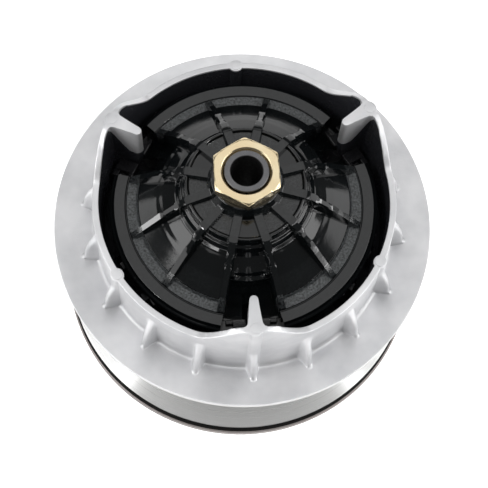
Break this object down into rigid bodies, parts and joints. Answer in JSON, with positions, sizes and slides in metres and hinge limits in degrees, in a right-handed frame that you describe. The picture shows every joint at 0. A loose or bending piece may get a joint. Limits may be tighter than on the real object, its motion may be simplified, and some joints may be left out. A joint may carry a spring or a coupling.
{
  "type": "cvt drive pulley",
  "caption": "Drive pulley of a rubber-belt variator: a fixed cone on a hollow shaft, a sprung sliding cone with a bowl, centrifugal levers and a ribbed black governor cup under a hex nut.",
  "frame": {"origin": "on the pulley's axis, in the plane of the fixed half's rim that it stands on", "axes": "+Z along the pulley's axis towards the clamp nut; one guide fin points along -Y"},
  "size_m": [0.19, 0.19, 0.1365],
  "materials": {
    "cast_aluminium": "as cast and tumbled, faint mottling",
    "machined_aluminium": "turned, fine concentric tool marks",
    "black_paint": "gloss black paint over a rough casting",
    "dark_steel": "blackened steel, satin",
    "ground_steel": "ground, bright",
    "yellow_zinc": "yellow passivated zinc plating",
    "spring_steel": "dark enamelled spring wire",
    "bronze": "sintered bronze",
    "black_nylon": "moulded, matt",
    "roller_resin": "brown moulded resin, matt"
  },
  "bodies": {
    "shaft_assembly": {"fixed_half": "machined_aluminium", "drive_shaft": "dark_steel", "idler_washer": "ground_steel", "idler_bearing": "bronze", "spring_seat": "dark_steel", "return_spring": "spring_steel", "governor_cup": "black_paint", "clamp_nut": "yellow_zinc", "slider_shoe_1": "black_nylon", "slider_shoe_2": "black_nylon", "slider_shoe_3": "black_nylon", "slider_shoe_4": "black_nylon", "slider_shoe_5": "black_nylon", "slider_shoe_6": "black_nylon"},
    "sliding_sheave": {"sliding_half": "cast_aluminium", "sliding_bush": "bronze", "lever_bolt_1": "ground_steel", "lever_bolt_2": "ground_steel", "lever_bolt_3": "ground_steel", "lever_nut_1": "ground_steel", "lever_nut_2": "ground_steel", "lever_nut_3": "ground_steel"},
    "idler": {"idler_sleeve": "ground_steel"},
    "lever_arm_1": {"lever_1": "dark_steel", "roller_pin_1": "ground_steel"},
    "lever_roller_1": {"roller_1": "roller_resin"},
    "lever_arm_2": {"lever_2": "dark_steel", "roller_pin_2": "ground_steel"},
    "lever_roller_2": {"roller_2": "roller_resin"},
    "lever_arm_3": {"lever_3": "dark_steel", "roller_pin_3": "ground_steel"},
    "lever_roller_3": {"roller_3": "roller_resin"}
  },
  "joints": [
    {"name": "sheave_slide", "type": "slide", "parent": "shaft_assembly", "child": "sliding_sheave", "axis": [0, 0, -1], "range_m": [0, 0.023], "stiffness_N_per_m": 4000, "springref_m": -0.03, "deforming": ["return_spring"]},
    {"name": "idler_spin", "type": "hinge", "parent": "shaft_assembly", "child": "idler", "pos_m": [0, 0, 0.04], "axis": [0, 0, 1], "continuous": true},
    {"name": "lever_swing_1", "type": "hinge", "parent": "sliding_sheave", "child": "lever_arm_1", "pos_m": [0.05196, -0.03, 0.077], "axis": [0.5, 0.866, 0], "range_deg": [0, 30]},
    {"name": "roller_spin_1", "type": "hinge", "parent": "lever_arm_1", "child": "lever_roller_1", "pos_m": [0.02941, -0.01698, 0.09885], "axis": [0.5, 0.866, 0], "continuous": true},
    {"name": "lever_swing_2", "type": "hinge", "parent": "sliding_sheave", "child": "lever_arm_2", "pos_m": [0, 0.06, 0.077], "axis": [-1, 0, 0], "range_deg": [0, 30]},
    {"name": "roller_spin_2", "type": "hinge", "parent": "lever_arm_2", "child": "lever_roller_2", "pos_m": [0, 0.03395, 0.09885], "axis": [-1, 0, 0], "continuous": true},
    {"name": "lever_swing_3", "type": "hinge", "parent": "sliding_sheave", "child": "lever_arm_3", "pos_m": [-0.05196, -0.03, 0.077], "axis": [0.5, -0.866, 0], "range_deg": [0, 30]},
    {"name": "roller_spin_3", "type": "hinge", "parent": "lever_arm_3", "child": "lever_roller_3", "pos_m": [-0.02941, -0.01698, 0.09885], "axis": [0.5, -0.866, 0], "continuous": true}
  ],
  "couplings": [
    {"joint": "lever_swing_1", "follows": "sheave_slide", "rad_per_m": 22.76},
    {"joint": "lever_swing_2", "follows": "sheave_slide", "rad_per_m": 22.76},
    {"joint": "lever_swing_3", "follows": "sheave_slide", "rad_per_m": 22.76}
  ]
}
